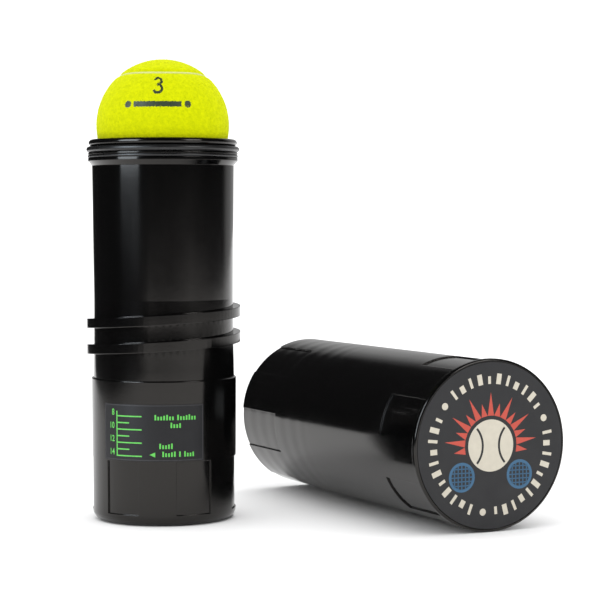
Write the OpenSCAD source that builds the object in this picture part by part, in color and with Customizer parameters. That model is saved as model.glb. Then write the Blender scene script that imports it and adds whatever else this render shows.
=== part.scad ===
// Screw-together tennis ball pressure can: a ball tube on a short base shell,
// three balls stacked in the tube, and the tall cover that screws down over it.
// Z is up. The origin is the centre of the base's underside.

/* [Balls] */
// Diameter of a ball over its felt
ball_d = 66.4; // [65.4:0.1:66.6]
// Thickness of the felt cover
felt_t = 2.4; // [2:0.1:3]
// Wall of the hollow rubber core
core_wall = 3.4; // [3:0.1:4]
// Width of the seam between the felt panels
seam_w = 1.6; // [1.2:0.1:2.4]

/* [Ball tube] */
// Bore of the tube that holds the balls
tube_bore_d = 67.4; // [67.2:0.1:67.6]
// Height of the floor that the lowest ball stands on
floor_z = 29.5; // [28:0.5:31]
// Height of the rim
rim_z = 189.5; // [188:0.5:192]
// Diameter over the rim lip
rim_d = 74.1; // [73.6:0.1:74.6]
// Diameter over the lower lip of the head
lip_d = 74.7; // [74.2:0.1:75]
// Diameter of the tube just under its head
neck_d = 70.8; // [70.4:0.1:71.2]
// Diameter of the tube just above the thread
waist_d = 69.6; // [69.4:0.1:70.2]

/* [Seal rings] */
// Cord thickness of the upper ring
upper_cord_d = 3; // [2.8:0.1:3]
// Outer diameter of the upper ring
upper_ring_d = 76.3; // [76:0.1:76.6]
// Cord thickness of the lower ring
lower_cord_d = 1.6; // [1.4:0.1:1.7]
// Outer diameter of the lower ring
lower_ring_d = 75; // [74.8:0.1:75.2]

/* [Thread] */
// Rise of the thread in one turn
pitch = 12.85; // [12:0.05:14]
// Height of the ridge's square section
ridge_h = 4.8; // [4:0.1:5]
// Diameter over the ridge
ridge_d = 77; // [76:0.1:77.2]
// Turns of ridge on the tube
ridge_turns = 1.75; // [1:0.25:2]
// Height of the ridge's middle where it starts
ridge_z = 83.3; // [82:0.1:84]

/* [Base shell] */
// Height of the shell's top edge
shell_z = 71; // [70:0.5:72]
// Diameter of the shell at its top edge
shell_top_d = 72.3; // [72:0.1:73]
// Diameter of the shell above its rounded foot
shell_low_d = 71.6; // [71.4:0.1:72]
// Rounding of the bottom edge
foot_r = 5; // [4:0.5:6]

/* [Cover] */
// Overall length of the cover
cover_len = 197.5; // [197.5:0.5:200]
// Diameter of the barrel
cover_d = 81.2; // [81:0.1:82]
// Diameter of the flange ring at the closed end
flange_d = 83.2; // [82.6:0.1:84]
// Bore of the barrel
cover_bore_d = 75.4; // [75.2:0.1:75.6]
// Thickness of the badge on the closed end
badge_t = 0.3; // [0.2:0.05:0.5]
// Length of the flange ring
flange_len = 3.1; // [2.6:0.1:4]
// Length of the threaded part of the bore
thread_len = 72; // [66:1:76]

/* [Grip panels] */
// Number of recessed panels around each grip band
panels = 6; // [6:1:6]
// Angle across one panel
panel_angle = 30; // [26:1:32]
// Depth of a panel
panel_depth = 0.7; // [0.5:0.1:0.8]
// Panel length at the cover's mouth
mouth_panel_len = 42; // [36:1:44]
// Panel length at the cover's closed end
end_panel_len = 34; // [30:1:38]

/* [Placing] */
// Distance from the base's axis to the axis of the cover lying beside it
cover_x = 120; // [110:1:140]
// How far behind the base's axis the cover's mouth lies
mouth_y = 80; // [70:1:90]
// Direction that the front of the base faces
front_angle = -112; // [-120:1:-105]

/* [Hidden] */
$fn = 96;
eps = 0.01;

// Running gaps
ball_gap = 0.3;
run_gap = 0.3;
slip = 0.02;

// Balls
ball_r = ball_d / 2;
core_r = ball_r - felt_t;
first_ball_z = floor_z + ball_gap + ball_r;
ball_step = ball_d + ball_gap;
low_turn = [20, 40, 10];
mid_turn = [70, -25, 60];
top_turn = [-70, 43, 172];

// Tube and its head
bore_r = tube_bore_d / 2;
floor_t = 3;
skirt_z = 2.6;
skirt_r = shell_low_d / 2 - 1.2;
base_neck_r = 35.2;
rim_round = 1.7;
upper_ring_z = rim_z - 4.95;
upper_groove_h = upper_cord_d + 0.1;
upper_centre_r = upper_ring_d / 2 - upper_cord_d / 2;
lower_ring_z = rim_z - 8.4;
lower_groove_h = lower_cord_d + 0.1;
lower_centre_r = lower_ring_d / 2 - lower_cord_d / 2;
chamfer_z = rim_z - 10.7;
neck_z = rim_z - 13;
waist_z = 110;

// Thread
ridge_step = 4;
ridge_start = front_angle - 135;
groove_step = 10;
groove_h = ridge_h + 0.8;
groove_r = ridge_d / 2 + 0.3;
closed_z = 35.3;
groove_z = ridge_z - closed_z + pitch * (0.375 - 5);

// Shell, label and foot
base_panel_angle = 144;
base_panel_low_z = 5.5;
base_panel_top_z = 31.6;
foot_disc_r = 28;
foot_disc_t = 2.6;
label_low_z = 32.2;
label_top_z = 59.8;
label_from = front_angle - 53;
label_angle = 84.6;
label_t = 0.25;

// Cover
cover_r = cover_d / 2;
flange_r = flange_d / 2;
barrel_len = cover_len - badge_t;
bore_len = 195;
flange_z = cover_len - flange_len;
mouth_round = 0.8;
flange_round = 1.1;
mouth_panel_at = 10;
end_panel_at = 40;
badge_r = 40;
nose_r = 38.9;

// ---------- helpers ----------

// Points of a quarter or half round in the profile plane
function arc(r, from, to, c = [0, 0], n = 6) =
    [for (i = [0:n]) let (a = from + (to - from) * i / n) c + r * [cos(a), sin(a)]];

// Radius of the base shell's slightly tapered wall at a height
function shell_r(z) =
    shell_low_d / 2 + (shell_top_d - shell_low_d) / 2 * (z - foot_r) / (shell_z - foot_r);

// A square-section band that climbs around the axis as a right-handed helix
module helix_band(inner, outer, height, from, mid_z, turns, step) {
    count = round(turns * 360 / step);
    section = [[inner, -height / 2], [outer, -height / 2], [outer, height / 2], [inner, height / 2]];
    points = [for (i = [0:count], p = section)
        let (turn = i * step)
        [p.x * cos(from + turn), p.x * sin(from + turn), mid_z + p.y + pitch * turn / 360]];
    sides = [for (i = [0:count - 1], k = [0:3])
        let (a = 4 * i + k, b = 4 * i + (k + 1) % 4)
        each [[a, b, a + 4], [b, b + 4, a + 4]]];
    last = 4 * count;
    ends = [[0, 2, 1], [0, 3, 2], [last, last + 1, last + 2], [last, last + 2, last + 3]];
    polyhedron(points, concat(sides, ends));
}

// Recessed panels: sectors cut from radius inner outwards
module panel_cuts(inner_low, inner_high, low_z, high_z, middle) {
    for (i = [0:panels - 1])
        rotate(middle + i * 360 / panels - panel_angle / 2)
            rotate_extrude(angle = panel_angle)
                polygon([[inner_low, low_z], [inner_low + 4, low_z],
                         [inner_high + 4, high_z], [inner_high, high_z]]);
}

module torus(centre_r, cord_d, z) {
    translate([0, 0, z])
        rotate_extrude()
            translate([centre_r, 0])
                circle(d = cord_d, $fn = 32);
}

// ---------- balls ----------

// The seam's closed curve on a unit sphere
function seam_point(t) = let (
        a = 0.8, b = 0.2, c = 2 * sqrt(a * b),
        p = [a * cos(t) + b * cos(3 * t), a * sin(t) - b * sin(3 * t), c * sin(2 * t)])
    p / norm(p);

// The seam as a band of square section that follows the curve
module seam_channel(inner, outer, width) {
    count = 60;
    points = [for (i = [0:count - 1])
        let (t = 360 * i / count, p = seam_point(t),
             along = seam_point(t + 1) - seam_point(t - 1),
             side = cross(p, along) / norm(cross(p, along)) * width / 2)
        each [p * inner - side, p * outer - side, p * outer + side, p * inner + side]];
    faces = [for (i = [0:count - 1], k = [0:3])
        let (a = 4 * i + k, b = 4 * i + (k + 1) % 4, n = 4 * count)
        each [[a, b, (a + 4) % n], [b, (b + 4) % n, (a + 4) % n]]];
    polyhedron(points, faces);
}

// The half of space on one side of the seam: a cone from the centre with a domed cap
module panel_side() {
    rows = 30;
    across = 8;
    reach = 1.3 * ball_r;
    dome = [for (i = [1:rows - 1], j = [0:across])
        let (t = 45 + 180 * i / rows,
             p = seam_point(t) * (1 - j / across) + seam_point(90 - t) * j / across)
        p / norm(p) * reach];
    first = len(dome);
    points = concat(dome, [seam_point(45) * reach, seam_point(225) * reach, [0, 0, 0]]);
    wide = across + 1;
    grid = [for (i = [0:rows - 3], j = [0:across - 1])
        let (a = i * wide + j)
        each [[a, a + wide, a + 1], [a + 1, a + wide, a + wide + 1]]];
    tips = [for (j = [0:across - 1])
        each [[first, j, j + 1],
              [first + 1, (rows - 2) * wide + j + 1, (rows - 2) * wide + j]]];
    cone = [for (i = [0:rows - 3])
        each [[first + 2, (i + 1) * wide, i * wide],
              [first + 2, i * wide + across, (i + 1) * wide + across]]];
    cone_tips = [[first + 2, 0, first], [first + 2, first, across],
                 [first + 2, first + 1, (rows - 2) * wide],
                 [first + 2, (rows - 2) * wide + across, first + 1]];
    polyhedron(points, concat(grid, tips, cone, cone_tips));
}

module place_ball(level, turn) {
    translate([0, 0, first_ball_z + level * ball_step])
        rotate(turn)
            children();
}

module ball_core() {
    color("dimgray")
        difference() {
            sphere(core_r);
            sphere(core_r - core_wall);
        }
}

module felt_shell() {
    difference() {
        sphere(ball_r);
        sphere(core_r);
        seam_channel(core_r - 1, ball_r + 1, seam_w);
    }
}

module ball_felt_a() {
    color("greenyellow")
        intersection() {
            felt_shell();
            panel_side();
        }
}

module ball_felt_b() {
    color("yellowgreen")
        difference() {
            felt_shell();
            panel_side();
        }
}

module ball_seam() {
    color("beige")
        difference() {
            intersection() {
                sphere(ball_r - 0.3);
                seam_channel(core_r - 1, ball_r + 1, seam_w);
            }
            sphere(core_r);
        }
}

// ---------- base ----------

module tube_profile() {
    rim_r = rim_d / 2;
    lip_r = lip_d / 2;
    polygon(concat(
        [[bore_r, floor_z - floor_t - eps], [bore_r, skirt_z], [skirt_r, skirt_z],
         [skirt_r, shell_z], [base_neck_r, shell_z], [waist_d / 2, waist_z],
         [neck_d / 2, neck_z], [lip_r, chamfer_z]],
        [[lip_r, rim_z - 6.8], [rim_r, rim_z - 6.8 + eps], [rim_r, rim_z - 2 * rim_round - 0.1]],
        arc(rim_round, -90, 90, [rim_r - rim_round, rim_z - rim_round], 10),
        [[bore_r + 0.4, rim_z], [bore_r, rim_z - 0.6]]
    ));
}

module ring_groove(centre_r, cord_d, z, height) {
    floor_r = centre_r - cord_d / 2;
    translate([0, 0, z - height / 2])
        difference() {
            cylinder(r = floor_r + 5, h = height);
            translate([0, 0, -1])
                cylinder(r = floor_r, h = height + 2);
        }
}

module ball_tube() {
    color("black") {
        difference() {
            rotate_extrude()
                tube_profile();
            ring_groove(upper_centre_r, upper_cord_d, upper_ring_z, upper_groove_h);
            ring_groove(lower_centre_r, lower_cord_d, lower_ring_z, lower_groove_h);
        }
        translate([0, 0, floor_z - floor_t])
            cylinder(r = bore_r + 0.2, h = floor_t);
        helix_band(bore_r + 0.6, ridge_d / 2, ridge_h, ridge_start, ridge_z, ridge_turns, ridge_step);
    }
}

module seal_ring_upper() {
    color("black")
        torus(upper_centre_r, upper_cord_d - 0.04, upper_ring_z);
}

module seal_ring_lower() {
    color("black")
        torus(lower_centre_r, lower_cord_d - 0.04, lower_ring_z);
}

module base_shell() {
    color("black")
        difference() {
            rotate_extrude()
                polygon(concat(
                    [[skirt_r + slip, shell_z], [skirt_r + slip, skirt_z], [foot_disc_r, skirt_z],
                     [foot_disc_r, 0]],
                    arc(foot_r, -90, 0, [shell_low_d / 2 - foot_r, foot_r]),
                    arc(0.4, 0, 90, [shell_top_d / 2 - 0.4, shell_z - 0.4], 3)
                ));
            panel_cuts(shell_r(base_panel_low_z) - panel_depth, shell_r(base_panel_top_z) - panel_depth,
                base_panel_low_z, base_panel_top_z, front_angle + base_panel_angle);
        }
}

module base_foot() {
    groove_r_in = 20;
    groove_w = 1.5;
    color("dimgray")
        difference() {
            cylinder(r = foot_disc_r - slip, h = foot_disc_t);
            translate([0, 0, -eps])
                difference() {
                    cylinder(r = groove_r_in + groove_w, h = 0.8);
                    cylinder(r = groove_r_in, h = 0.8);
                }
        }
}

module pressure_label() {
    color("darkslategray")
        rotate(label_from)
            rotate_extrude(angle = label_angle)
                polygon([[shell_r(label_low_z) + slip, label_low_z],
                         [shell_r(label_low_z) + slip + label_t, label_low_z],
                         [shell_r(label_top_z) + slip + label_t, label_top_z],
                         [shell_r(label_top_z) + slip, label_top_z]]);
}

// ---------- cover ----------

// Lays the cover on its side, its mouth towards +Y
module lay_down() {
    translate([cover_x, mouth_y, flange_r])
        rotate([90, 0, 0])
            children();
}

module cover_barrel() {
    bore = cover_bore_d / 2;
    groove_turns = ceil((thread_len + pitch) / pitch);
    color("black")
        lay_down()
            difference() {
                rotate_extrude()
                    polygon(concat(
                        [[0, barrel_len], [0, bore_len], [bore, bore_len], [bore, 0.5], [bore + 0.5, 0]],
                        arc(mouth_round, -90, 0, [cover_r - mouth_round, mouth_round], 4),
                        [[cover_r, flange_z - run_gap], [nose_r, flange_z - run_gap], [nose_r, barrel_len]]
                    ));
                intersection() {
                    helix_band(bore - 1, groove_r, groove_h, front_angle, groove_z, groove_turns,
                        groove_step);
                    translate([0, 0, -1])
                        cylinder(r = cover_r + 1, h = thread_len + 1);
                }
                panel_cuts(cover_r - panel_depth, cover_r - panel_depth,
                    -1, mouth_panel_len, mouth_panel_at);
                panel_cuts(cover_r - panel_depth, cover_r - panel_depth,
                    flange_z - end_panel_len, flange_z, end_panel_at);
            }
}

// Ring around the closed end: it runs on the barrel's nose, and the badge keeps it there
module cover_flange() {
    color("black")
        lay_down()
            rotate_extrude()
                polygon(concat(
                    [[nose_r + run_gap, flange_z]],
                    arc(0.5, -90, 0, [flange_r - 0.5, flange_z + 0.5], 3),
                    arc(flange_round, 0, 90, [flange_r - flange_round, cover_len - flange_round]),
                    [[badge_r + run_gap, cover_len], [badge_r + run_gap, barrel_len - run_gap],
                     [nose_r + run_gap, barrel_len - run_gap]]
                ));
}

module cover_badge() {
    color("darkslategray")
        lay_down()
            translate([0, 0, barrel_len])
                cylinder(r = badge_r, h = cover_len - barrel_len);
}

ball_tube();
base_shell();
base_foot();
seal_ring_upper();
seal_ring_lower();
pressure_label();
cover_barrel();
cover_flange();
cover_badge();
place_ball(0, low_turn) ball_core();  // ball_low_core
place_ball(0, low_turn) ball_seam();  // ball_low_seam
place_ball(0, low_turn) ball_felt_a();  // ball_low_felt_a
place_ball(0, low_turn) ball_felt_b();  // ball_low_felt_b
place_ball(1, mid_turn) ball_core();  // ball_mid_core
place_ball(1, mid_turn) ball_seam();  // ball_mid_seam
place_ball(1, mid_turn) ball_felt_a();  // ball_mid_felt_a
place_ball(1, mid_turn) ball_felt_b();  // ball_mid_felt_b
place_ball(2, top_turn) ball_core();  // ball_top_core
place_ball(2, top_turn) ball_seam();  // ball_top_seam
place_ball(2, top_turn) ball_felt_a();  // ball_top_felt_a
place_ball(2, top_turn) ball_felt_b();  // ball_top_felt_b
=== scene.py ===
"""Looks for the opened tennis ball pressure can.

Its base stands with three balls in the tube, and its cover lies beside it.
"""

import math
import random

import bmesh
import bpy
from mathutils import Euler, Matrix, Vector
from mathutils.kdtree import KDTree


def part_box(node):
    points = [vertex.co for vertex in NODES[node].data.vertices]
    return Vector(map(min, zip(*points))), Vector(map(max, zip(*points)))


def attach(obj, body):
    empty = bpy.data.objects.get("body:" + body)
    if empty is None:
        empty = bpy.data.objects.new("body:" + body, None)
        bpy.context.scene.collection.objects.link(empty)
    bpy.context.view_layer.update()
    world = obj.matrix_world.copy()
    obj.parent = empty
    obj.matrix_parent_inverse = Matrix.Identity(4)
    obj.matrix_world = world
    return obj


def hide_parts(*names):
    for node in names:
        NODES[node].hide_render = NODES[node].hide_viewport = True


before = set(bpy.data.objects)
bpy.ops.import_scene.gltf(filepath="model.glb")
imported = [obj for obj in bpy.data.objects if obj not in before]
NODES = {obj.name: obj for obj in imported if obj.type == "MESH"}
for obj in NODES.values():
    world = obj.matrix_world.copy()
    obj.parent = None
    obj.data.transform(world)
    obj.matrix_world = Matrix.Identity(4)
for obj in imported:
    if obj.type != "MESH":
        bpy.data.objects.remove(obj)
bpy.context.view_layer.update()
MM = 0.001

# ---------------------------------------------------------------- sizes read from the frame

BARREL_LOW, BARREL_HIGH = (Vector(corner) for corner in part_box("cover_barrel"))
FLANGE_LOW, FLANGE_HIGH = (Vector(corner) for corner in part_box("cover_flange"))
BADGE_LOW, BADGE_HIGH = (Vector(corner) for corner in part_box("cover_badge"))
LABEL_LOW, LABEL_HIGH = (Vector(corner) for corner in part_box("pressure_label"))
COVER_AXIS = Vector(((BARREL_LOW.x + BARREL_HIGH.x) / 2, 0, (FLANGE_LOW.z + FLANGE_HIGH.z) / 2))
MOUTH_Y = BARREL_HIGH.y
FACE_Y = BADGE_LOW.y
BADGE_R = (BADGE_HIGH.x - BADGE_LOW.x) / 2

# The direction that the front of the base faces, in degrees from +X
FRONT = -112.0
THREAD_PITCH = 12.85 * MM
THREAD_LEN = 72 * MM
BALL_R = 33.2 * MM
# How each ball is turned about X, Y and Z, in degrees
BALL_TURNS = {"low": (20, 40, 10), "mid": (70, -25, 60), "top": (-70, 43, 172)}
# The base shell widens evenly from its rounded foot to its top edge
SHELL_LOW_R, SHELL_TOP_R = 35.8 * MM, 36.15 * MM
SHELL_FOOT_Z, SHELL_TOP_Z = 5 * MM, 71 * MM
# The direction of the label's left edge, and the angle that the label covers, in degrees
LABEL_FROM, LABEL_ANGLE = FRONT - 53, 84.6
# How far the label's face stands out from the shell
LABEL_OUT = 0.27 * MM
EDGE_SOFTNESS = 0.45 * MM


def ball_centre(name):
    low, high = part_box(f"ball_{name}_core")
    return (Vector(low) + Vector(high)) / 2


# ---------------------------------------------------------------- node-tree helpers


def set_range(node, low, high, to_low, to_high):
    """Make a Map Range node turn low and high into to_low and to_high."""
    for key, number in zip(("From Min", "From Max", "To Min", "To Max"), (low, high, to_low, to_high)):
        node.inputs[key].default_value = number


class Shade:
    """A material with a principled shader, and short calls that add nodes to it."""

    def __init__(self, name, colour, roughness, **sockets):
        self.material = bpy.data.materials.new(name)
        self.material.use_nodes = True
        self.tree = self.material.node_tree
        self.shader = self.tree.nodes["Principled BSDF"]
        self.shader.inputs["Base Color"].default_value = (*colour, 1)
        self.shader.inputs["Roughness"].default_value = roughness
        for socket, value in sockets.items():
            self.shader.inputs[socket.replace("_", " ")].default_value = value
        self.coords = self.add("ShaderNodeTexCoord").outputs["Object"]

    def add(self, kind, **settings):
        node = self.tree.nodes.new(kind)
        for key, value in settings.items():
            setattr(node, key, value)
        return node

    def link(self, source, target):
        self.tree.links.new(source, target)

    def noise(self, scale, detail=3.0, rough=0.5, vector=None):
        node = self.add("ShaderNodeTexNoise")
        node.inputs["Scale"].default_value = scale
        node.inputs["Detail"].default_value = detail
        node.inputs["Roughness"].default_value = rough
        self.link(vector or self.coords, node.inputs["Vector"])
        return node.outputs["Fac"]

    def stretched(self, scale):
        node = self.add("ShaderNodeMapping")
        node.inputs["Scale"].default_value = scale
        self.link(self.coords, node.inputs["Vector"])
        return node.outputs["Vector"]

    def math(self, operation, *values):
        node = self.add("ShaderNodeMath", operation=operation)
        for socket, value in zip(node.inputs, values):
            if isinstance(value, (int, float)):
                socket.default_value = value
            else:
                self.link(value, socket)
        return node.outputs["Value"]

    def axis(self, name):
        node = self.add("ShaderNodeSeparateXYZ")
        self.link(self.coords, node.inputs[0])
        return node.outputs[name]

    def spread(self, value, low, high, to_low, to_high):
        node = self.add("ShaderNodeMapRange")
        set_range(node, low, high, to_low, to_high)
        self.link(value, node.inputs["Value"])
        return node.outputs["Result"]

    def vary_colour(self, value, low, high):
        node = self.add("ShaderNodeMix", data_type="RGBA")
        node.inputs["A"].default_value = (*low, 1)
        node.inputs["B"].default_value = (*high, 1)
        self.link(value, node.inputs["Factor"])
        self.link(node.outputs["Result"], self.shader.inputs["Base Color"])

    def vary_roughness(self, value, low, high):
        self.link(self.spread(value, 0.3, 0.7, low, high), self.shader.inputs["Roughness"])

    def softened_edges(self, radius):
        """The small radius that a mould leaves on every edge, as a normal for bump to build on."""
        node = self.add("ShaderNodeBevel", samples=6)
        node.inputs["Radius"].default_value = radius
        return node.outputs["Normal"]

    def bump(self, height, strength, distance, under=None):
        node = self.add("ShaderNodeBump")
        node.inputs["Strength"].default_value = strength
        node.inputs["Distance"].default_value = distance
        self.link(height, node.inputs["Height"])
        if under:
            self.link(under, node.inputs["Normal"])
        self.link(node.outputs["Normal"], self.shader.inputs["Normal"])
        return node.outputs["Normal"]


# ---------------------------------------------------------------- materials


def gloss_black(name, ripple=False):
    """Polished injection-moulded black plastic, with faint flow marks and rubbed patches."""
    shade = Shade(name, (0.0014, 0.0014, 0.0015), 0.13, Specular_IOR_Level=0.42)
    shade.shader.inputs["Specular Tint"].default_value = (1.0, 0.95, 0.90, 1)
    rubbed = shade.noise(38, 4, 0.6, shade.stretched((1, 1, 0.35)))
    shade.vary_roughness(rubbed, 0.10, 0.16)
    skin = shade.bump(shade.noise(240, 2), 0.04, 0.0002, shade.softened_edges(EDGE_SOFTNESS))
    if ripple:
        shade.bump(cover_ripple(shade), 0.6, 0.00005, skin)
    return shade.material


def cover_ripple(shade):
    """The sink marks that the inner thread leaves on the outside: a shallow helix over the open half."""
    along = shade.math("SUBTRACT", MOUTH_Y, shade.axis("Y"))
    up = shade.math("SUBTRACT", shade.axis("Z"), COVER_AXIS.z)
    aside = shade.math("SUBTRACT", shade.axis("X"), COVER_AXIS.x)
    turn = shade.math("ARCTAN2", up, aside)
    phase = shade.math("SUBTRACT", shade.math("MULTIPLY", along, 2 * math.pi / THREAD_PITCH), turn)
    wave = shade.math("SINE", phase)
    fade = shade.spread(along, THREAD_LEN, THREAD_LEN + THREAD_PITCH, 1, 0)
    return shade.math("MULTIPLY", wave, fade)


def foot_plastic():
    shade = Shade("foot_plastic", (0.014, 0.014, 0.015), 0.5)
    shade.vary_roughness(shade.noise(60), 0.42, 0.6)
    shade.bump(shade.noise(900, 2), 0.25, 0.0001)
    return shade.material


def ring_rubber():
    shade = Shade("ring_rubber", (0.008, 0.008, 0.0085), 0.3)
    shade.vary_roughness(shade.noise(120), 0.24, 0.38)
    shade.bump(shade.noise(700, 2), 0.12, 0.0001)
    return shade.material


def label_film():
    shade = Shade("label_film", (0.008, 0.008, 0.010), 0.36, Specular_IOR_Level=0.35)
    shade.vary_colour(shade.noise(90, 4), (0.006, 0.006, 0.008), (0.010, 0.010, 0.012))
    shade.vary_roughness(shade.noise(140), 0.30, 0.42)
    shade.bump(shade.noise(1400, 2), 0.08, 0.00005)
    return shade.material


def badge_film():
    shade = Shade("badge_film", (0.011, 0.011, 0.013), 0.5)
    shade.vary_colour(shade.noise(70, 4), (0.009, 0.009, 0.011), (0.014, 0.014, 0.016))
    shade.vary_roughness(shade.noise(120), 0.46, 0.58)
    shade.bump(shade.noise(1600, 3), 0.15, 0.00005)
    return shade.material


def ink(name, colour):
    """Printing ink with the slight unevenness of a screen print."""
    shade = Shade(name, colour, 0.5)
    thin = tuple(part * 0.85 for part in colour)
    shade.vary_colour(shade.noise(420, 4), thin, colour)
    shade.vary_roughness(shade.noise(300), 0.44, 0.6)
    shade.bump(shade.noise(1800, 2), 0.1, 0.00004)
    return shade.material


def felt(name, fibres=False):
    """Optic-yellow ball felt: matted wool, with painted shade that darkens the gaps between its tufts.
    Loose fibres need no bump.
    """
    bright, shaded_gap = (0.56, 0.61, 0.0), (0.46, 0.52, 0.0)
    shade = Shade(name, bright, 0.92, Sheen_Weight=0.12, Sheen_Roughness=0.5, Specular_IOR_Level=0.05)
    shade.shader.inputs["Sheen Tint"].default_value = (0.95, 1.0, 0.05, 1)
    tufts = shade.noise(520, 6, 0.65)
    # Painted shade: the felt is darker where the tuft noise is low, which is also where that noise sinks
    # the felt's bump
    shade.vary_colour(shade.spread(tufts, 0.36, 0.62, 0, 1), shaded_gap, bright)
    if not fibres:
        broad = shade.bump(shade.noise(160, 4, 0.6), 0.35, 0.0005)
        shade.bump(tufts, 0.8, 0.0006, broad)
    return shade.material


def seam_rubber():
    shade = Shade("seam_rubber", (0.55, 0.59, 0.20), 0.7)
    shade.vary_colour(shade.noise(600, 3), (0.50, 0.55, 0.16), (0.60, 0.63, 0.26))
    shade.vary_roughness(shade.noise(300), 0.6, 0.8)
    shade.bump(shade.noise(1500, 2), 0.2, 0.00008)
    return shade.material


def core_rubber():
    shade = Shade("core_rubber", (0.05, 0.05, 0.055), 0.8)
    shade.vary_roughness(shade.noise(200), 0.7, 0.9)
    shade.bump(shade.noise(900, 2), 0.2, 0.0001)
    return shade.material


def paint(node, material):
    slots = NODES[node].material_slots
    for slot in slots:
        slot.material = material
    if not slots:
        NODES[node].data.materials.append(material)


# ---------------------------------------------------------------- mesh helpers


def piece(name, verts, faces, material, body, smooth=False):
    mesh = bpy.data.meshes.new(name)
    mesh.from_pydata([tuple(v) for v in verts], [], faces)
    mesh.validate()
    mesh.materials.append(material)
    if smooth:
        mesh.shade_smooth()
    obj = bpy.data.objects.new(name, mesh)
    bpy.context.scene.collection.objects.link(obj)
    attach(obj, body)
    return obj


def strip(points, width):
    """The left and the right edge of a flat ribbon that runs along a flat polyline."""
    left, right = [], []
    for i, p in enumerate(points):
        before, after = points[max(i - 1, 0)], points[min(i + 1, len(points) - 1)]
        along = Vector(after) - Vector(before)
        across = Vector((-along.y, along.x)).normalized() * width / 2
        left.append(Vector(p) + across)
        right.append(Vector(p) - across)
    return left, right


def round_points(centre, radius, start, end, steps):
    """Points along an arc from one angle to another, in degrees, with both ends."""
    angles = [math.radians(start + (end - start) * i / steps) for i in range(steps + 1)]
    return [(centre[0] + radius * math.cos(a), centre[1] + radius * math.sin(a)) for a in angles]


def even_points(start, end, steps):
    """Points at even distances along a straight line, with both ends."""
    return [(start[0] + (end[0] - start[0]) * i / steps, start[1] + (end[1] - start[1]) * i / steps)
            for i in range(steps + 1)]


class Print:
    """Flat print in u, v coordinates, laid onto a surface by a function and given a slight thickness."""

    def __init__(self, place, raise_by):
        self.place, self.raise_by = place, raise_by
        self.verts, self.faces = [], []

    def polygon(self, outline):
        first = len(self.verts)
        count = len(outline)
        for lift in (0, self.raise_by):
            self.verts += [self.place(p[0], p[1], lift) for p in outline]
        self.faces.append(list(range(first + count, first + 2 * count)))
        self.faces.append(list(range(first + count - 1, first - 1, -1)))
        for i in range(count):
            j = (i + 1) % count
            self.faces.append([first + i, first + j, first + count + j, first + count + i])

    def ribbon(self, points, width):
        left, right = strip(points, width)
        for i in range(len(points) - 1):
            self.polygon([right[i], right[i + 1], left[i + 1], left[i]])

    def disc(self, centre, radius, steps=24):
        self.polygon(round_points(centre, radius, 0, 360, steps)[:-1])

    def arc(self, centre, radius, start, end, width, steps):
        self.ribbon(round_points(centre, radius, start, end, steps), width)

    def number(self, digits, right, middle, height):
        """A numeral from Blender's own font as mesh, by its right edge and its middle height."""
        size_for_height, bolder, narrow = 1.38, 0.025, 0.78
        curve = bpy.data.curves.new("numeral", "FONT")
        curve.body = digits
        curve.size = height * size_for_height
        curve.offset = height * bolder
        curve.resolution_u = 3
        holder = bpy.data.objects.new("numeral", curve)
        bpy.context.scene.collection.objects.link(holder)
        shape = bpy.data.meshes.new_from_object(holder)
        bpy.data.objects.remove(holder)
        first = len(self.verts)
        wide = max(v.co.x for v in shape.vertices) * narrow
        left, low = right - wide, middle - height / 2
        self.verts += [self.place(left + v.co.x * narrow, low + v.co.y, self.raise_by)
                       for v in shape.vertices]
        self.faces += [[first + i for i in p.vertices] for p in shape.polygons]
        bpy.data.meshes.remove(shape)

    def bars(self, centre_u, centre_v, groups):
        """Groups of short upright bars in a row, centred on a point."""
        bar, gap, space = 0.8 * MM, 0.6 * MM, 1.7 * MM
        heights = (2.6 * MM, 1.8 * MM, 1.8 * MM, 2.2 * MM)
        low = centre_v - 1.1 * MM
        total = sum(count * (bar + gap) - gap for count in groups) + space * (len(groups) - 1)
        u = centre_u - total / 2
        for count in groups:
            for k in range(count):
                top = low + heights[k % len(heights)]
                self.polygon([(u, low), (u + bar, low), (u + bar, top), (u, top)])
                u += bar + gap
            u += space - gap

    def build(self, name, material, body):
        return piece(name, self.verts, self.faces, material, body)


# ---------------------------------------------------------------- the pressure label


def on_label(u, v, lift):
    """u runs along the label from its left edge, v up from the table, both in metres."""
    radius = SHELL_LOW_R + (SHELL_TOP_R - SHELL_LOW_R) * (v - SHELL_FOOT_Z) / (SHELL_TOP_Z - SHELL_FOOT_Z)
    turn = math.radians(LABEL_FROM) + u / SHELL_LOW_R
    radius += LABEL_OUT + lift
    return radius * math.cos(turn), radius * math.sin(turn), v


def label_print(green, outline_ink):
    label_border(outline_ink)
    label_scale(green)


def label_border(outline_ink):
    """A thin dark line just inside the label's edge."""
    inset, stroke = 0.5 * MM, 0.35 * MM
    left, right = inset, math.radians(LABEL_ANGLE) * SHELL_LOW_R - inset
    low, high = LABEL_LOW.z + inset, LABEL_HIGH.z - inset
    border = Print(on_label, 0.03 * MM)
    for v in (low, high):
        border.ribbon(even_points((left, v), (right, v), 24), stroke)
    for u in (left, right):
        border.ribbon([(u, low), (u, high)], stroke)
    border.build("label_outline", outline_ink, "base")


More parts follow.
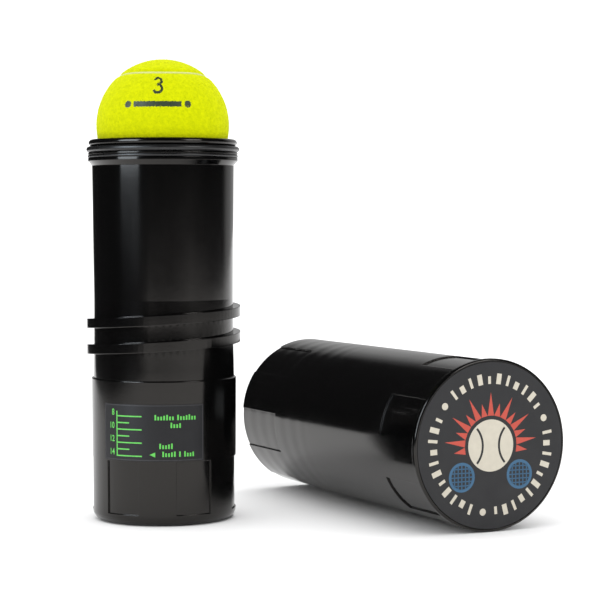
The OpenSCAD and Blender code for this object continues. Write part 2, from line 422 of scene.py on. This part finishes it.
def label_scale(green):
    """A pressure scale: an upright line, long marks with numerals, short marks halfway, an arrowhead."""
    line_u, top_v, low_v = 8.4 * MM, 54.0 * MM, 34.6 * MM
    past_top = 2.4 * MM
    long_mark, short_mark, stroke = 13.6 * MM, 7.1 * MM, 0.62 * MM
    numeral_gap, numeral_rise, numeral_height = 1.6 * MM, 1.9 * MM, 3.1 * MM
    arrow_tip_u, arrow_back_u = 25.8 * MM, 28.6 * MM
    numerals = (8, 10, 12, 14)
    step = (top_v - low_v) / (len(numerals) - 1)

    scale = Print(on_label, 0.05 * MM)
    scale.ribbon([(line_u, low_v - stroke / 2), (line_u, top_v + past_top)], stroke)
    for i, numeral in enumerate(numerals):
        v = top_v - i * step
        scale.ribbon(even_points((line_u, v), (line_u + long_mark, v), 6), stroke)
        if i < len(numerals) - 1:
            half_v = v - step / 2
            scale.ribbon(even_points((line_u, half_v), (line_u + short_mark, half_v), 3), stroke)
        scale.number(str(numeral), line_u - numeral_gap, v + numeral_rise, numeral_height)
    scale.polygon([(arrow_tip_u, low_v + 0.8 * MM), (arrow_back_u, low_v - 0.4 * MM),
                   (arrow_back_u, low_v + 2.0 * MM)])
    # Rows of plain bars stand where a scale like this carries its notes:
    # each row's middle in mm, and how many bars are in each of its groups
    for middle_u, middle_v, groups in ((38.4, 53.4, (7, 7)), (38.5, 49.6, (4,)),
                                       (33.8, 39.4, (5,)), (39.8, 35.5, (5, 1, 4))):
        scale.bars(middle_u * MM, middle_v * MM, groups)
    scale.build("label_scale", green, "base")


# ---------------------------------------------------------------- the badge

# One millimetre on a badge drawn 80 mm across, at the badge's own size
BADGE_MM = BADGE_R / 40
BADGE_BALL_R = 12.5 * BADGE_MM


def on_badge(u, v, lift):
    """u to the right and v up as seen from outside the closed end, in metres from its centre."""
    return COVER_AXIS.x + u, FACE_Y - lift, COVER_AXIS.z + v


def towards(degrees):
    angle = math.radians(degrees)
    return Vector((math.cos(angle), math.sin(angle)))


def badge_print(cream, red, blue, dark):
    """A generic emblem: a ring of bars and dots, a ball under a fan of rays, two plain lattice discs."""
    badge_ring_and_ball(cream)
    badge_rays(red)
    badge_discs(blue)
    badge_ball_seams(dark)


def badge_ring_and_ball(cream):
    """Three runs of eleven bars, with a dot before each run, and the ball's plain disc in the middle."""
    ring = Print(on_badge, 0.05 * MM)
    near, long_far, short_far = 29.5 * BADGE_MM, 34.6 * BADGE_MM, 33.2 * BADGE_MM
    wide, thin = 2.6 * BADGE_MM, 1.5 * BADGE_MM
    for start in (22, 142, 262):
        for k in range(11):
            direction = towards(start + 13 + k * 9.4)
            far = long_far if k % 3 else short_far
            ring.ribbon([direction * near, direction * far], wide if k % 2 else thin)
        ring.disc(towards(start) * 32 * BADGE_MM, 1.7 * BADGE_MM)
    ring.disc((0, 0), BADGE_BALL_R, steps=64)
    ring.build("badge_cream", cream, "cover")


def badge_rays(red):
    rays = Print(on_badge, 0.05 * MM)
    long_tip, short_tip = 25.5 * BADGE_MM, 20.5 * BADGE_MM
    for k in range(15):
        direction = towards(-8 + 14 * k)
        side = Vector((-direction.y, direction.x)) * 1.7 * BADGE_MM
        base, tip = direction * 14.3 * BADGE_MM, direction * (long_tip if k % 2 else short_tip)
        rays.polygon([base - side, tip, base + side])
    rays.build("badge_red", red, "cover")


def badge_discs(blue):
    discs = Print(on_badge, 0.05 * MM)
    lattice_r, lattice_step, lattice_line = 5.8, 2.0, 0.55 * BADGE_MM
    for side in (-1, 1):
        middle = Vector((side * 16.0 * BADGE_MM, -14.5 * BADGE_MM))
        discs.arc(middle, 6.4 * BADGE_MM, 0, 360, 1.4 * BADGE_MM, 48)
        for k in range(-2, 3):
            offset = lattice_step * k * BADGE_MM
            reach = math.sqrt(lattice_r**2 - (lattice_step * k) ** 2) * BADGE_MM
            upright, level = Vector((offset, reach)), Vector((reach, offset))
            discs.ribbon([middle + Vector((offset, -reach)), middle + upright], lattice_line)
            discs.ribbon([middle + Vector((-reach, offset)), middle + level], lattice_line)
    discs.build("badge_blue", blue, "cover")


def badge_ball_seams(dark):
    """Two arcs that curve towards each other across the badge's ball."""
    seams = Print(on_badge, 0.09 * MM)
    for side in (-1, 1):
        middle_angle = 90 + side * 90
        seams.arc((side * 17 * BADGE_MM, 0), BADGE_BALL_R, middle_angle - 42, middle_angle + 42,
                  1.1 * BADGE_MM, 20)
    seams.build("badge_seams", dark, "cover")


# ---------------------------------------------------------------- balls

# How far the seam swings: the two add up to 1, which keeps the curve on the unit sphere
SEAM_A, SEAM_B = 0.8, 0.2
SEAM_STEPS = 360


def seam_direction(t):
    """The seam's closed curve on a unit sphere, t in degrees."""
    t = math.radians(t)
    point = Vector((SEAM_A * math.cos(t) + SEAM_B * math.cos(3 * t),
                    SEAM_A * math.sin(t) - SEAM_B * math.sin(3 * t),
                    2 * math.sqrt(SEAM_A * SEAM_B) * math.sin(2 * t)))
    return point.normalized()


class Seam:
    """Where a direction lies against the seam: how far off, and on which side."""

    def __init__(self):
        self.points = [seam_direction(i * 360 / SEAM_STEPS) for i in range(SEAM_STEPS)]
        self.tree = KDTree(SEAM_STEPS)
        for i, p in enumerate(self.points):
            self.tree.insert(p, i)
        self.tree.balance()

    def offset(self, direction):
        near, i, distance = self.tree.find(direction)
        along = self.points[(i + 1) % SEAM_STEPS] - self.points[i - 1]
        side = direction.dot(near.cross(along))
        return math.copysign(distance * BALL_R, side)


def felt_radius(offset):
    """The felt stands full away from the seam and rolls down into it."""
    full = BALL_R - 0.1 * MM
    deepest, rolls_over, flat_half_width = 1.0 * MM, 1.1 * MM, 0.5 * MM
    away = max(abs(offset) - flat_half_width, 0)
    return full - deepest * math.exp(-((away / rolls_over) ** 2))


# The top ball's print faces a little left of the base's front
PRINT_FRONT = math.radians(FRONT - 5)
# Its sizes are in mm along the ball's surface, from the point on the ball's middle that it faces.
# The 3 is two open arcs, each with its middle's height, radius, first and last angle.
THREE_ARCS = ((22.4, 2.1, -100, 160), (17.9, 2.4, -160, 100))
THREE_HALF_STROKE = 0.75
PRINT_BAR_HEIGHT, PRINT_BAR_HALF_WIDTH, PRINT_BAR_HALF_THICKNESS = 9.5, 12.5, 1.4
PRINT_DOT_ASIDE, PRINT_DOT_R = 15.8, 1.8


def on_print(direction):
    """Whether a direction from the top ball's centre lies in its print: a 3 over a bar between two dots."""
    facing = Vector((math.cos(PRINT_FRONT), math.sin(PRINT_FRONT), 0))
    aside = Vector((-facing.y, facing.x, 0))
    more_than_60_degrees_off = direction.dot(facing) < 0.5
    if more_than_60_degrees_off:
        return False
    u = math.atan2(direction.dot(aside), direction.dot(facing)) * BALL_R / MM
    v = math.asin(direction.z) * BALL_R / MM
    for middle, radius, start, end in THREE_ARCS:
        from_middle = math.hypot(u, v - middle)
        turn = math.degrees(math.atan2(v - middle, u))
        if abs(from_middle - radius) < THREE_HALF_STROKE and start < turn < end:
            return True
    if abs(u) < PRINT_BAR_HALF_WIDTH:
        return abs(v - PRINT_BAR_HEIGHT) < PRINT_BAR_HALF_THICKNESS
    return math.hypot(abs(u) - PRINT_DOT_ASIDE, v - PRINT_BAR_HEIGHT) < PRINT_DOT_R


def scattered(dice):
    """A random vector that favours no direction."""
    return Vector((dice.gauss(0, 1), dice.gauss(0, 1), dice.gauss(0, 1)))


# How near the seam no fibre grows, and how deep a fibre's root sits in the felt
FUZZ_FREE_SEAM, FIBRE_ROOT = 0.7 * MM, 0.05 * MM
FIBRE_LENGTHS, FIBRE_HALF_WIDTH = (0.5 * MM, 1.5 * MM), 0.035 * MM
# How steeply a fibre rises from the felt, as a part of its length
FIBRE_RISES = (0.12, 0.42)


class Ball:
    """One ball's place and turn, and the pieces that are built on it."""

    def __init__(self, name, seam):
        self.body = f"ball_{name}"
        self.printed = name == "top"
        self.seam = seam
        self.centre = ball_centre(name)
        self.turn = Euler([math.radians(a) for a in BALL_TURNS[name]], "XYZ").to_matrix()

    def place(self, point):
        """A point given from the ball's centre before the ball is turned, as a place in the scene."""
        return self.centre + self.turn @ point

    def panels(self, detail, felt_material, print_material):
        """The two felt panels: one fine sphere, split at the seam."""
        shape = bmesh.new()
        bmesh.ops.create_icosphere(shape, subdivisions=detail, radius=1)
        directions = [v.co.normalized() for v in shape.verts]
        offsets = [self.seam.offset(d) for d in directions]
        places = [self.place(d * felt_radius(o)) for d, o in zip(directions, offsets)]
        for panel, sign in (("a", 1), ("b", -1)):
            kept = [[v.index for v in f.verts] for f in shape.faces
                    if sum(sign * offsets[v.index] > 0 for v in f.verts) >= 2]
            used = sorted({i for f in kept for i in f})
            renumber = {old: new for new, old in enumerate(used)}
            obj = piece(f"{self.body}_panel_{panel}", [places[i] for i in used],
                        [[renumber[i] for i in f] for f in kept], felt_material, self.body, smooth=True)
            if self.printed:
                obj.data.materials.append(print_material)
                for face in obj.data.polygons:
                    face.material_index = int(on_print((face.center - self.centre).normalized()))
            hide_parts(f"{self.body}_felt_{panel}")
        shape.free()

    def seam_band(self, material):
        """The rubber seam: a shallow rounded band that follows the curve."""
        half, count = 0.72 * MM, 240
        # Across the band: how far aside, and how many mm under the ball's full radius
        section = [(-half, 1.3), (-half * 0.6, 0.75), (0, 0.62), (half * 0.6, 0.75), (half, 1.3)]
        wide = len(section)
        band, faces = [], []
        for i in range(count):
            degrees = i * 360 / count
            p = seam_direction(degrees)
            across = p.cross(seam_direction(degrees + 1) - seam_direction(degrees - 1)).normalized()
            band += [self.place(p * (BALL_R - depth * MM) + across * side) for side, depth in section]
            first, after = i * wide, (i + 1) % count * wide
            faces += [[first + k, after + k, after + k + 1, first + k + 1] for k in range(wide - 1)]
        obj = piece(f"{self.body}_seam_band", band, faces, material, self.body, smooth=True)
        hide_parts(f"{self.body}_seam")

    def fuzz(self, fibres, seed, fibre_material, print_material):
        """Loose fibres that lie on the felt: each a narrow blade, bent once, that ends in a point."""
        dice = random.Random(seed)
        verts, blades, inked = [], [], []
        while len(blades) < fibres:
            d = scattered(dice).normalized()
            offset = self.seam.offset(d)
            if abs(offset) < FUZZ_FREE_SEAM:
                continue
            root = d * (felt_radius(offset) - FIBRE_ROOT)
            lean = scattered(dice)
            lean = (lean - d * lean.dot(d)).normalized()
            length = dice.uniform(*FIBRE_LENGTHS)
            rise = dice.uniform(*FIBRE_RISES)
            side = d.cross(lean) * FIBRE_HALF_WIDTH
            # It rises fast over its first half, then lies flatter
            middle = root + lean * length * 0.5 + d * length * rise * 0.7
            tip = root + lean * length + d * length * rise * 0.9
            first = len(verts)
            verts += [self.place(v) for v in (root - side, root + side, middle + side, middle - side, tip)]
            blades.append([first, first + 1, first + 2, first + 3])
            blades.append([first + 3, first + 2, first + 4])
            inked += [int(self.printed and on_print(self.turn @ d))] * 2
        fuzz = piece(f"{self.body}_fuzz", verts, blades, fibre_material, self.body)
        fuzz.data.materials.append(print_material)
        fuzz.data.polygons.foreach_set("material_index", inked)


# ---------------------------------------------------------------- studio


def area_light(name, place, aim, size, size_y, power, colour=(1, 1, 1)):
    """A softbox for the gloss alone: the felt and the table get their even light from the world and sun."""
    light = bpy.data.lights.new(name, "AREA")
    light.shape = "RECTANGLE"
    light.size, light.size_y = size, size_y
    light.energy = power
    light.color = colour
    obj = bpy.data.objects.new(name, light)
    obj.location = place
    obj.rotation_euler = (Vector(aim) - Vector(place)).to_track_quat("-Z", "Y").to_euler()
    obj.visible_diffuse = False
    bpy.context.scene.collection.objects.link(obj)


# Which way the viewer looks, turned from +Y, and the two level directions that go with it
VIEW_TURN = math.radians(-26.0)
AHEAD = Vector((-math.sin(VIEW_TURN), math.cos(VIEW_TURN), 0))
ASIDE = Vector((AHEAD.y, -AHEAD.x, 0))


def seen(aside, ahead, up):
    """A place in metres given as the viewer sees it: to the right, away and up, from the base's axis."""
    return ASIDE * aside + AHEAD * ahead + Vector((0, 0, up))


def build_floor():
    """A pale table top. It ends a short way to the left, so the gloss there mirrors the dark studio."""
    shade = Shade("floor_paper", (0.88, 0.88, 0.882), 0.9)
    shade.shader.inputs["Specular IOR Level"].default_value = 0.1
    shade.bump(shade.noise(300, 2), 0.03, 0.0002)
    left, front = -0.62, -1.75
    corners = [(left, front), (2, front), (4, 14), (-3, 14), (left, 1.2)]
    mesh = bpy.data.meshes.new("floor")
    mesh.from_pydata([tuple(seen(aside, ahead, 0)) for aside, ahead in corners], [], [(0, 1, 2, 3, 4)])
    mesh.materials.append(shade.material)
    floor = bpy.data.objects.new("floor", mesh)
    bpy.context.scene.collection.objects.link(floor)


def build_world():
    """White all round for soft light, but the gloss sees only a bright backdrop behind and to the right."""
    soft_light = 1.45
    # How squarely a ray meets the backdrop where it starts and where it is full, and its two strengths
    edge, full, dark, bright = 0.74, 0.87, 0.02, 0.55
    world = bpy.data.worlds.new("studio")
    bpy.context.scene.world = world
    world.use_nodes = True
    tree = world.node_tree
    background = tree.nodes["Background"]
    background.inputs["Color"].default_value = (1, 1, 1, 1)
    coords = tree.nodes.new("ShaderNodeTexCoord")
    squareness = tree.nodes.new("ShaderNodeVectorMath")
    squareness.operation = "DOT_PRODUCT"
    squareness.inputs[1].default_value = (AHEAD * 0.94 + ASIDE * 0.34).normalized()
    tree.links.new(coords.outputs["Generated"], squareness.inputs[0])
    card = tree.nodes.new("ShaderNodeMapRange")
    set_range(card, edge, full, dark, bright)
    tree.links.new(squareness.outputs["Value"], card.inputs["Value"])
    path = tree.nodes.new("ShaderNodeLightPath")
    mix = tree.nodes.new("ShaderNodeMix")
    mix.data_type = "FLOAT"
    tree.links.new(path.outputs["Is Glossy Ray"], mix.inputs["Factor"])
    mix.inputs["A"].default_value = soft_light
    tree.links.new(card.outputs["Result"], mix.inputs["B"])
    tree.links.new(mix.outputs["Result"], background.inputs["Strength"])


def build_lights():
    above_base, between_parts = seen(-0.1, 0, 0.62), seen(0.05, 0, 0.12)
    pale_blue = (0.80, 0.90, 1)
    area_light("softbox_left", seen(-0.95, -0.75, 0.72), above_base, 0.72, 1.05, 22, pale_blue)
    area_light("softbox_right", seen(1.1, -0.8, 0.98), between_parts, 0.7, 0.7, 8)
    sun = bpy.data.lights.new("overhead", "SUN")
    sun.energy = 0.8
    sun.angle = math.radians(80)
    overhead = bpy.data.objects.new("overhead", sun)
    overhead.rotation_euler = (-seen(-0.15, 0.25, 1)).to_track_quat("-Z", "Y").to_euler()
    # The sun is too wide to mirror, so the gloss doesn't show it
    overhead.visible_glossy = False
    bpy.context.scene.collection.objects.link(overhead)


def build_camera():
    camera = bpy.data.cameras.new("camera")
    camera.lens = 123.0
    camera.sensor_width = 36
    holder = bpy.data.objects.new("camera", camera)
    holder.location = seen(0.0685, -1.0279, 0.1513)
    look_down, lean = 0.041, 0.002
    holder.rotation_euler = (math.radians(90) - look_down, lean, VIEW_TURN)
    bpy.context.scene.collection.objects.link(holder)
    bpy.context.scene.camera = holder


def build_studio():
    build_floor()
    build_world()
    build_lights()
    build_camera()
    bpy.context.scene.view_settings.view_transform = "Standard"


# ---------------------------------------------------------------- making it


def build_balls():
    """Only the top ball is seen, so the lower two have coarser panels and fewer fibres."""
    seam = Seam()
    felt_material, fibre_material, seam_material = felt("felt"), felt("felt_fibre", True), seam_rubber()
    print_material = ink("felt_ink", (0.022, 0.045, 0.006))
    for seed, (name, detail, fibres) in enumerate((("low", 5, 6000), ("mid", 5, 6000), ("top", 7, 30000))):
        ball = Ball(name, seam)
        ball.panels(detail, felt_material, print_material)
        ball.seam_band(seam_material)
        ball.fuzz(fibres, seed, fibre_material, print_material)


def build():
    black = gloss_black("gloss_black")
    for node in ("ball_tube", "base_shell", "cover_flange"):
        paint(node, black)
    paint("cover_barrel", gloss_black("gloss_black_cover", ripple=True))
    paint("base_foot", foot_plastic())
    rubber = ring_rubber()
    paint("seal_ring_upper", rubber)
    paint("seal_ring_lower", rubber)
    paint("pressure_label", label_film())
    paint("cover_badge", badge_film())
    cores = core_rubber()
    for name in ("low", "mid", "top"):
        paint(f"ball_{name}_core", cores)

    label_print(ink("ink_green", (0.10, 0.56, 0.07)), ink("ink_outline", (0.030, 0.030, 0.034)))
    badge_print(ink("ink_cream", (0.56, 0.52, 0.43)), ink("ink_red", (0.50, 0.06, 0.035)),
                ink("ink_blue", (0.030, 0.115, 0.22)), ink("ink_dark", (0.012, 0.012, 0.014)))

    build_balls()
    build_studio()


build()
